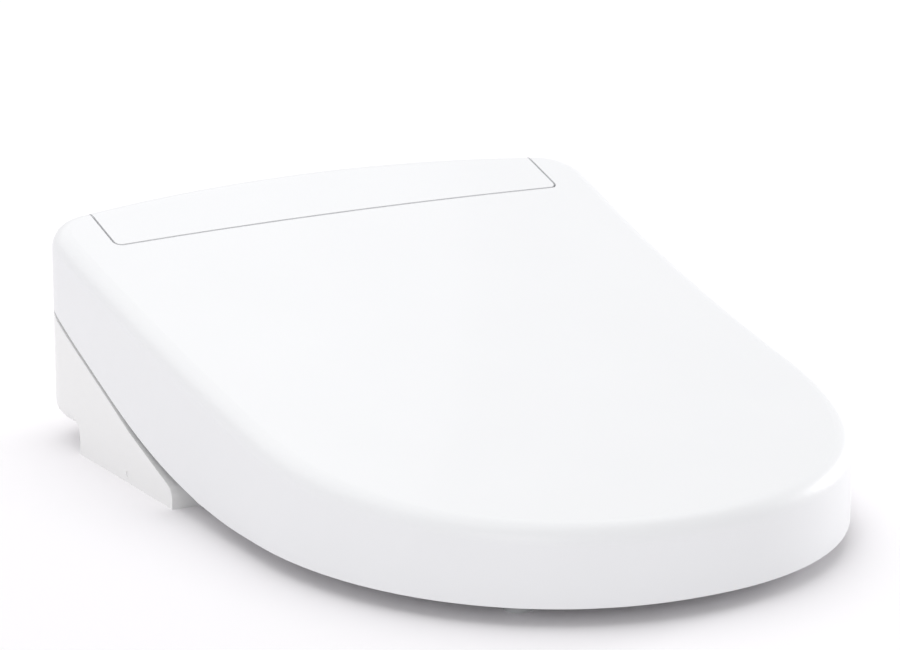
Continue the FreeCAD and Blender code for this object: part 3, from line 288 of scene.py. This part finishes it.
def gloss_resin(name, base, peel, roughness=0.36):
    """Polished moulded resin: a faint flow in its colour and a fine peel in its gloss."""
    flow_size, flow_depth, peel_depth = 90 * MM, 0.12 * MM, 0.004 * MM
    made = Recipe(name, roughness)
    flow = made.noise(flow_size, 2.0)
    ripple = made.noise(peel, 2.0)
    made.tint(flow, shade(base, 0.985), shade(base, 1.01))
    made.vary_roughness(ripple, roughness * 0.85, roughness * 1.2)
    made.relief((flow, flow_depth), (ripple, peel_depth))
    made.set("Coat Weight", 0.12)
    made.set("Coat Roughness", 0.08)
    return made.material


def matt_resin(name, base, grain, roughness=0.55):
    """Moulded resin with a fine spark-eroded grain."""
    cloud_size, pit_depth = 30 * MM, 0.03 * MM
    made = Recipe(name, roughness)
    pits = made.cells(grain)
    cloud = made.noise(cloud_size, 3.0)
    made.tint(cloud, shade(base, 0.93), shade(base, 1.05))
    made.vary_roughness(pits, roughness * 0.85, roughness * 1.15)
    made.relief((pits, pit_depth))
    return made.material


def brushed_metal(name, base, direction):
    """Metal with fine brush lines along one axis."""
    line_width, line_depth, cloud_size = 0.6 * MM, 0.01 * MM, 20 * MM
    made = Recipe(name, 0.3, 1.0)
    lines = made.noise(line_width, 4.0, direction)
    cloud = made.noise(cloud_size, 2.0)
    made.tint(cloud, shade(base, 0.9), shade(base, 1.06))
    made.vary_roughness(lines, 0.22, 0.42)
    made.relief((lines, line_depth))
    return made.material


def cast_metal(name, base):
    """Die-cast metal: small soft pits and a dull skin."""
    pit_size, pit_depth, cloud_size = 1.2 * MM, 0.04 * MM, 12 * MM
    made = Recipe(name, 0.42, 0.85)
    pits = made.noise(pit_size, 5.0)
    made.tint(made.noise(cloud_size, 3.0), shade(base, 0.88), shade(base, 1.06))
    made.vary_roughness(pits, 0.34, 0.55)
    made.relief((pits, pit_depth))
    return made.material


def elastomer(name, base, roughness=0.6):
    """Soft rubbery plastic with a dusty bloom."""
    bloom_size, grain_size, grain_depth = 6 * MM, 0.5 * MM, 0.02 * MM
    made = Recipe(name, roughness)
    bloom = made.noise(bloom_size, 4.0)
    grain = made.noise(grain_size, 2.0)
    made.tint(bloom, shade(base, 0.92), shade(base, 1.06))
    made.vary_roughness(bloom, roughness * 0.85, roughness * 1.1)
    made.relief((grain, grain_depth))
    made.set("Sheen Weight", 0.15)
    made.set("Sheen Roughness", 0.4)
    return made.material


def circuit_board(name):
    """Coated board: green lacquer over raised tracks."""
    track_width, track_depth, grain_size, grain_depth = 2.5 * MM, 0.06 * MM, 1 * MM, 0.01 * MM
    made = Recipe(name, 0.35)
    tracks = made.bands(track_width, "X")
    made.tint(tracks, (0.02, 0.13, 0.06), (0.05, 0.24, 0.11))
    made.relief((tracks, track_depth), (made.noise(grain_size, 3.0), grain_depth))
    return made.material


def heater_foil(name):
    """Etched foil: bright tracks with dark lanes between them."""
    track_width, track_depth = 3 * MM, 0.08 * MM
    made = Recipe(name, 0.35, 0.8)
    tracks = made.bands(track_width, "Y")
    made.tint(tracks, (0.30, 0.18, 0.10), (0.72, 0.52, 0.34))
    made.vary_roughness(tracks, 0.28, 0.5)
    made.relief((tracks, track_depth))
    return made.material


# ---- pieces ----

def paint(names, material):
    """Gives CAD nodes one material."""
    for name in names:
        mesh = frame["nodes"][name].data
        mesh.materials.clear()
        mesh.materials.append(material)


def body_of_node(name):
    """The body that a CAD node rides on."""
    return frame["nodes"][name]["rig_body"]


def add_piece(name, shape, material, body):
    """Turns a bmesh into a finished piece that rides on a body."""
    mesh = bpy.data.meshes.new(name)
    bmesh.ops.recalc_face_normals(shape, faces=shape.faces)
    shape.to_mesh(mesh)
    shape.free()
    mesh.materials.append(material)
    mesh.shade_smooth()
    mesh.set_sharp_from_angle(angle=SHARP_ANGLE)
    piece = bpy.data.objects.new(name, mesh)
    bpy.context.scene.collection.objects.link(piece)
    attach(piece, body)
    return piece


def soften(node, material, width):
    """Stands a merged copy with rounded edges in for a CAD node."""
    source = frame["nodes"][node]
    shape = bmesh.new()
    shape.from_mesh(source.data)
    bmesh.ops.remove_doubles(shape, verts=shape.verts, dist=MERGE)
    bmesh.ops.dissolve_limit(shape, angle_limit=math.radians(0.4), verts=shape.verts,
                             edges=shape.edges)
    mesh = bpy.data.meshes.new(node + "_soft")
    shape.to_mesh(mesh)
    shape.free()
    mesh.materials.clear()
    mesh.materials.append(material)
    mesh.shade_smooth()
    piece = bpy.data.objects.new(node + "_soft", mesh)
    bpy.context.scene.collection.objects.link(piece)
    bevel = piece.modifiers.new("Edges", "BEVEL")
    bevel.width = width
    bevel.segments = 3
    bevel.limit_method = "ANGLE"
    bevel.angle_limit = SHARP_ANGLE
    bevel.use_clamp_overlap = True
    bevel.harden_normals = True
    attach(piece, body_of_node(node))
    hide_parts(node)


def islands(name):
    """The lowest and highest corners of each separate solid in a CAD node."""
    shape = bmesh.new()
    shape.from_mesh(frame["nodes"][name].data)
    bmesh.ops.remove_doubles(shape, verts=shape.verts, dist=MERGE)
    left, found = set(shape.verts), []
    while left:
        first = left.pop()
        group, edge_of_group = [first], [first]
        while edge_of_group:
            for edge in edge_of_group.pop().link_edges:
                for vert in edge.verts:
                    if vert in left:
                        left.remove(vert)
                        group.append(vert)
                        edge_of_group.append(vert)
        found.append(tuple(Vector(pick(vert.co[axis] for vert in group) for axis in range(3))
                           for pick in (min, max)))
    shape.free()
    return found


def turned(name, profile, centre, axis, material, body, steps=96):
    """A piece turned on a lathe: the profile's (radius, place along the axis) spun once round."""
    shape = bmesh.new()
    along = Vector(axis).normalized()
    across = along.orthogonal().normalized()
    verts = [shape.verts.new(Vector(centre) + along * place + across * radius)
             for radius, place in profile]
    edges = [shape.edges.new(pair) for pair in zip(verts, verts[1:] + verts[:1])]
    bmesh.ops.spin(shape, geom=verts + edges, cent=centre, axis=along, dvec=(0, 0, 0),
                   angle=2 * math.pi, steps=steps, use_merge=True, use_duplicate=False)
    bmesh.ops.remove_doubles(shape, verts=shape.verts, dist=MERGE)
    return add_piece(name, shape, material, body)


def surround(name, low, high, rim, proud, material, body):
    """A rounded frame that stands proud of a wall facing -Y, round the opening low to high."""
    corner, edge = rim * 1.6, proud * 0.3
    shape = bmesh.new()
    centre = (low + high) / 2
    width, height = high.x - low.x + 2 * rim, high.z - low.z + 2 * rim
    place = (Matrix.Translation((centre.x, low.y, centre.z)) @ Matrix.Rotation(math.pi / 2, 4, "X")
             @ Matrix.Diagonal((width, height, 1.0, 1.0)))
    bmesh.ops.create_grid(shape, x_segments=1, y_segments=1, size=0.5, matrix=place)
    bmesh.ops.bevel(shape, geom=shape.verts[:], offset=corner, segments=6, affect="VERTICES",
                    profile=0.5, material=-1, offset_type="OFFSET", clamp_overlap=True)
    middle = shape.faces[:]
    bmesh.ops.inset_region(shape, faces=middle, thickness=rim, use_boundary=True,
                           use_even_offset=True)
    bmesh.ops.delete(shape, geom=middle, context="FACES")
    made = bmesh.ops.extrude_face_region(shape, geom=shape.faces[:], use_keep_orig=True)
    moved = [item for item in made["geom"] if isinstance(item, bmesh.types.BMVert)]
    bmesh.ops.translate(shape, verts=moved, vec=(0, -proud, 0))
    bmesh.ops.recalc_face_normals(shape, faces=shape.faces)
    sharp = [edge for edge in shape.edges if edge.calc_face_angle(0.0) > math.radians(50)]
    bmesh.ops.bevel(shape, geom=sharp, offset=edge, segments=3, affect="EDGES",
                    profile=0.5, material=-1, offset_type="OFFSET", clamp_overlap=True)
    add_piece(name, shape, material, body)


def finishes():
    """The user's finishes."""
    return bpy.context.scene.seat_finishes


# ---- operators, one for each group of pieces ----

class SEAT_OT_lid(bpy.types.Operator):
    """Finish the lid and the rear cover in white gloss."""

    bl_idname = "seat.lid"
    bl_label = "Lid and rear cover"

    def execute(self, context):
        own = finishes()
        white = gloss_resin("lid_gloss", own.lid_white, own.peel_size)
        paint(["lid_shell", "rear_cover"], white)
        return {"FINISHED"}


class SEAT_OT_ring(bpy.types.Operator):
    """Finish the seat ring, its arms and its hidden heater."""

    bl_idname = "seat.ring"
    bl_label = "Seat ring"

    def execute(self, context):
        own = finishes()
        white = gloss_resin("ring_gloss", own.ring_white, own.peel_size, 0.2)
        paint(["seat_top", "seat_base"], white)
        for side in ("left", "right"):
            soften("seat_arm_" + side, white, own.edge_round)
        paint(["seat_heater"], heater_foil("ring_heater_foil"))
        return {"FINISHED"}


class SEAT_OT_case(bpy.types.Operator):
    """Finish the case, its covers, plugs, feet and screws."""

    bl_idname = "seat.case"
    bl_label = "Case"

    def execute(self, context):
        own = finishes()
        white = gloss_resin("case_gloss", own.case_white, own.peel_size, 0.3)
        paint(["lower_case", "side_plug"], white)
        for name in ("release_button", "odour_cartridge"):
            soften(name, white, own.edge_round)
        soften("upper_case", white, own.edge_round * 2)
        paint(["drain_knob", "dryer_flap"], white)
        paint(["cord_gland"], elastomer("gland_rubber", own.inner_grey))
        paint(["unit_feet"], elastomer("foot_rubber", own.rubber_grey))
        paint(["case_screws", "button_spring"],
              brushed_metal("screw_steel", (0.62, 0.63, 0.65), (1.0, 1.0, 0.05)))
        paint(["spring_seat"], matt_resin("spring_seat_resin", own.inner_grey, own.grain_size))
        return {"FINISHED"}


class SEAT_OT_surrounds(bpy.types.Operator):
    """Frame the two mouths in the hood's front: the wand's and the dryer's."""

    bl_idname = "seat.surrounds"
    bl_label = "Mouth surrounds"

    def execute(self, context):
        own = finishes()
        trim = gloss_resin("surround_gloss", shade(own.case_white, 0.8), own.peel_size, 0.22)
        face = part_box("upper_case")[0].y + own.surround_sink
        tip_low, tip_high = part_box("wand_tip")
        reach = own.mouth_margin
        rack_room = 2.2 * reach
        low = Vector((tip_low.x - reach, face, tip_low.z - reach))
        high = Vector((tip_high.x + reach, face, tip_high.z + rack_room))
        surround("wand_surround", low, high, own.surround_rim, own.surround_proud, trim, "unit")
        flap_low, flap_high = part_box("dryer_flap")
        gap = own.surround_gap
        low = Vector((flap_low.x - gap, face, flap_low.z - gap))
        high = Vector((flap_high.x + gap, face, flap_high.z + gap))
        surround("dryer_surround", low, high, own.surround_rim, own.surround_proud, trim, "unit")
        return {"FINISHED"}


class SEAT_OT_screws(bpy.types.Operator):
    """Lay a thin dark cross on the head of each case screw: painted shade where a cross recess
    would be.
    """

    bl_idname = "seat.screws"
    bl_label = "Painted screw recess shade"

    def execute(self, context):
        dark = matt_resin("recess_shadow", (0.05, 0.05, 0.055), finishes().grain_size, 0.7)
        length_share, width_share, depth, lift, edge = 0.55, 0.13, 0.2 * MM, 0.03 * MM, 0.05 * MM
        # Each cross is two thin dark boxes, and no recess is cut: painted shade of a cross recess.
        shape = bmesh.new()
        for low, high in islands("case_screws"):
            width = high.x - low.x
            for turn in (0.0, math.pi / 2):
                place = Vector(((low.x + high.x) / 2, (low.y + high.y) / 2, low.z + lift))
                size = Matrix.Diagonal((width * length_share, width * width_share, depth, 1.0))
                bmesh.ops.create_cube(shape, size=1.0, matrix=Matrix.Translation(place)
                                      @ Matrix.Rotation(turn, 4, "Z") @ size)
        bmesh.ops.bevel(shape, geom=shape.edges[:], offset=edge, segments=2, affect="EDGES",
                        profile=0.5, material=-1, offset_type="OFFSET", clamp_overlap=True)
        add_piece("screw_recess_painted_shade", shape, dark, "unit")
        return {"FINISHED"}


class SEAT_OT_stops(bpy.types.Operator):
    """Finish the soft stops under the ring and the lid."""

    bl_idname = "seat.stops"
    bl_label = "Soft stops"

    def execute(self, context):
        paint(["seat_stops", "lid_stops"], elastomer("stop_rubber", finishes().rubber_grey))
        return {"FINISHED"}


class SEAT_OT_hinges(bpy.types.Operator):
    """Finish the hinge drives, shafts and bushes."""

    bl_idname = "seat.hinges"
    bl_label = "Hinges"

    def execute(self, context):
        own = finishes()
        dark = matt_resin("gearbox_resin", (0.09, 0.095, 0.1), own.grain_size)
        for name in ("seat_drive_gearbox", "lid_drive_gearbox"):
            soften(name, dark, own.edge_round)
        paint(["seat_drive_motor", "lid_drive_motor", "wand_motor"],
              brushed_metal("motor_can", (0.66, 0.67, 0.69), (0.05, 1.0, 1.0)))
        paint(["seat_shaft", "lid_shaft"],
              brushed_metal("shaft_steel", (0.6, 0.61, 0.63), (1.0, 0.05, 0.05)))
        paint(["seat_bush", "lid_bush", "hinge_wall_bushes"],
              matt_resin("bush_resin", (0.7, 0.71, 0.72), own.grain_size, 0.4))
        return {"FINISHED"}


class SEAT_OT_wand(bpy.types.Operator):
    """Finish the washing wand, its guide and its drive."""

    bl_idname = "seat.wand"
    bl_label = "Washing wand"

    def execute(self, context):
        own = finishes()
        clean = gloss_resin("wand_gloss", (0.82, 0.84, 0.85), own.peel_size, 0.16)
        paint(["wand_tube", "wand_tip"], clean)
        grey = matt_resin("wand_drive_resin", own.inner_grey, own.grain_size, 0.45)
        paint(["wand_guide", "guide_stand", "wand_rack", "wand_pinion"], grey)
        return {"FINISHED"}


class SEAT_OT_water(bpy.types.Operator):
    """Finish the inlet, valve, tank, selector and hoses."""

    bl_idname = "seat.water"
    bl_label = "Water parts"

    def execute(self, context):
        own = finishes()
        brass = brushed_metal("inlet_brass", (0.68, 0.5, 0.24), (1.0, 1.0, 0.1))
        paint(["water_inlet"], brass)
        self.thread(brass, own)
        grey = matt_resin("valve_resin", own.inner_grey, own.grain_size)
        paint(["flow_selector", "solenoid_valve"], grey)
        soften("heater_tank", grey, own.edge_round * 2)
        soften("tank_heater", brushed_metal("element_steel", (0.6, 0.6, 0.62), (0.1, 1.0, 1.0)),
               own.edge_round)
        paint(["inlet_hose", "selector_hose", "tank_hose"],
              elastomer("hose_rubber", (0.62, 0.68, 0.72), 0.35))
        return {"FINISHED"}

    def thread(self, brass, own):
        """Stands a turned body with a real thread form in for the plain inlet."""
        low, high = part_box("water_inlet")
        centre = Vector(((low.x + high.x) / 2, (low.y + high.y) / 2, 0.0))
        case_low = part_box("unit_feet")[0].z + own.floor_height
        crest, head = own.inlet_crest, (high.x - low.x) / 2
        shoulder, bore, head_depth = head - 2 * MM, 6.5 * MM, 13 * MM
        profile = [(bore, low.z), (crest - own.thread_depth, low.z)]
        place = low.z + own.thread_pitch / 2
        while place < case_low - own.thread_pitch:
            profile += [(crest, place), (crest - own.thread_depth, place + own.thread_pitch / 2)]
            place += own.thread_pitch
        step, head_low = 1.0 * MM, high.z - head_depth
        profile += [(crest - own.thread_depth, case_low), (shoulder, case_low),
                    (shoulder, head_low), (head - step / 2, head_low),
                    (head, head_low + step / 2), (head, high.z - step), (head - step, high.z),
                    (bore, high.z)]
        piece = turned("inlet_threaded", profile, centre, (0, 0, 1), brass, "unit")
        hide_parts("water_inlet")


class SEAT_OT_air(bpy.types.Operator):
    """Finish the dryer and the odour fan."""

    bl_idname = "seat.air"
    bl_label = "Air parts"

    def execute(self, context):
        own = finishes()
        dark = matt_resin("fan_resin", (0.12, 0.125, 0.13), own.grain_size)
        paint(["dryer_fan_housing", "odour_fan_housing", "dryer_rotor", "odour_rotor"], dark)
        soften("dryer_duct", matt_resin("duct_resin", own.inner_grey, own.grain_size),
               own.edge_round)
        paint(["dryer_heater"], cast_metal("element_fins", (0.66, 0.67, 0.68)))
        return {"FINISHED"}


class SEAT_OT_electronics(bpy.types.Operator):
    """Finish the two circuit boards."""

    bl_idname = "seat.electronics"
    bl_label = "Circuit boards"

    def execute(self, context):
        paint(["control_board", "power_board"], circuit_board("board_lacquer"))
        return {"FINISHED"}


class SEAT_OT_mount(bpy.types.Operator):
    """Finish the plate that stays on the bowl."""

    bl_idname = "seat.mount"
    bl_label = "Bowl plate"

    def execute(self, context):
        own = finishes()
        plate = matt_resin("plate_resin", (0.6, 0.61, 0.62), own.grain_size, 0.45)
        for name in ("base_plate", "plate_rails"):
            soften(name, plate, own.edge_round)
        return {"FINISHED"}


# ---- the studio ----

def studio_floor():
    """A plain pale floor, wide enough to reach past every view."""
    shape = bmesh.new()
    bmesh.ops.create_grid(shape, x_segments=1, y_segments=1, size=30.0)
    mesh = bpy.data.meshes.new("studio_floor")
    shape.to_mesh(mesh)
    shape.free()
    floor = bpy.data.objects.new("studio_floor", mesh)
    bpy.context.scene.collection.objects.link(floor)
    recipe = Recipe("floor_paper", 0.9)
    recipe.tint(recipe.noise(0.5, 2.0), (0.93, 0.915, 0.935), (0.95, 0.935, 0.955))
    mesh.materials.append(recipe.material)


def add_lamp(name, kind, power, **settings):
    """A lamp that the camera doesn't see."""
    data = bpy.data.lights.new(name, kind)
    data.energy = power
    for key, value in settings.items():
        setattr(data, key, value)
    lamp = bpy.data.objects.new(name, data)
    bpy.context.scene.collection.objects.link(lamp)
    lamp.visible_camera = False
    return lamp


def area_light(name, place, target, side, power):
    """A large square soft light that faces a point."""
    lamp = add_lamp(name, "AREA", power, shape="SQUARE", size=side)
    aim = (Vector(target) - Vector(place)).to_track_quat("-Z", "Y")
    lamp.matrix_world = Matrix.Translation(place) @ aim.to_matrix().to_4x4()


def round_light(name, place, radius, power):
    """A soft round lamp that shines every way, so the floor shows no edge of its light."""
    lamp = add_lamp(name, "POINT", power, shadow_soft_size=radius)
    lamp.matrix_world = Matrix.Translation(place)


def studio_camera(own):
    """The camera, turned and raised round its aim."""
    data = bpy.data.cameras.new("studio_camera")
    data.lens = own.lens
    data.sensor_width = 36.0
    camera = bpy.data.objects.new("studio_camera", data)
    bpy.context.scene.collection.objects.link(camera)
    turn, rise = own.azimuth, own.elevation
    back = Vector((math.sin(turn) * math.cos(rise), -math.cos(turn) * math.cos(rise),
                   math.sin(rise)))
    place = Vector(own.aim) + back * own.distance
    camera.matrix_world = (Matrix.Translation(place)
                           @ (-back).to_track_quat("-Z", "Y").to_matrix().to_4x4())
    bpy.context.scene.camera = camera


class SEAT_OT_studio(bpy.types.Operator):
    """Set up the floor, the soft lights and the camera."""

    bl_idname = "seat.studio"
    bl_label = "Studio"

    def execute(self, context):
        own = context.scene.seat_studio
        studio_floor()
        world = bpy.data.worlds.new("studio_sky")
        world.use_nodes = True
        world.node_tree.nodes["Background"].inputs["Color"].default_value = (1.0, 1.0, 1.0, 1.0)
        world.node_tree.nodes["Background"].inputs["Strength"].default_value = own.sky
        context.scene.world = world
        centre = (CAD_BOX[0] + CAD_BOX[1]) / 2
        area_light("top_light", own.top_place, centre, own.top_side, own.top_power)
        round_light("side_light", own.side_place, own.side_radius, own.side_power)
        round_light("rim_light", own.rim_place, own.rim_radius, own.rim_power)
        studio_camera(own)
        context.scene.view_settings.view_transform = "Standard"
        return {"FINISHED"}


OPERATORS = (SEAT_OT_lid, SEAT_OT_ring, SEAT_OT_case, SEAT_OT_surrounds, SEAT_OT_screws,
             SEAT_OT_stops, SEAT_OT_hinges, SEAT_OT_wand, SEAT_OT_water, SEAT_OT_air,
             SEAT_OT_electronics, SEAT_OT_mount, SEAT_OT_studio)


class SEAT_PT_panel(bpy.types.Panel):
    """The seat's finishes, pieces and studio."""

    bl_label = "Washing Seat"
    bl_idname = "SEAT_PT_panel"
    bl_space_type = "VIEW_3D"
    bl_region_type = "UI"
    bl_category = "Seat"

    def draw(self, context):
        for group in (context.scene.seat_finishes, context.scene.seat_studio):
            box = self.layout.box()
            for name in group.bl_rna.properties.keys():
                if name not in ("rna_type", "name"):
                    box.prop(group, name)
        for operator in OPERATORS:
            self.layout.operator(operator.bl_idname)


CLASSES = (SeatFinishes, SeatStudio, *OPERATORS, SEAT_PT_panel)


def register():
    """Adds the classes and the two groups of settings."""
    for made in CLASSES:
        bpy.utils.register_class(made)
    bpy.types.Scene.seat_finishes = PointerProperty(type=SeatFinishes)
    bpy.types.Scene.seat_studio = PointerProperty(type=SeatStudio)


def unregister():
    """Takes them away again."""
    del bpy.types.Scene.seat_finishes
    del bpy.types.Scene.seat_studio
    for made in reversed(CLASSES):
        bpy.utils.unregister_class(made)


def main():
    """Builds everything."""
    register()
    for operator in OPERATORS:
        name = operator.bl_idname.split(".")[1]
        getattr(bpy.ops.seat, name)()


if __name__ == "__main__":
    main()
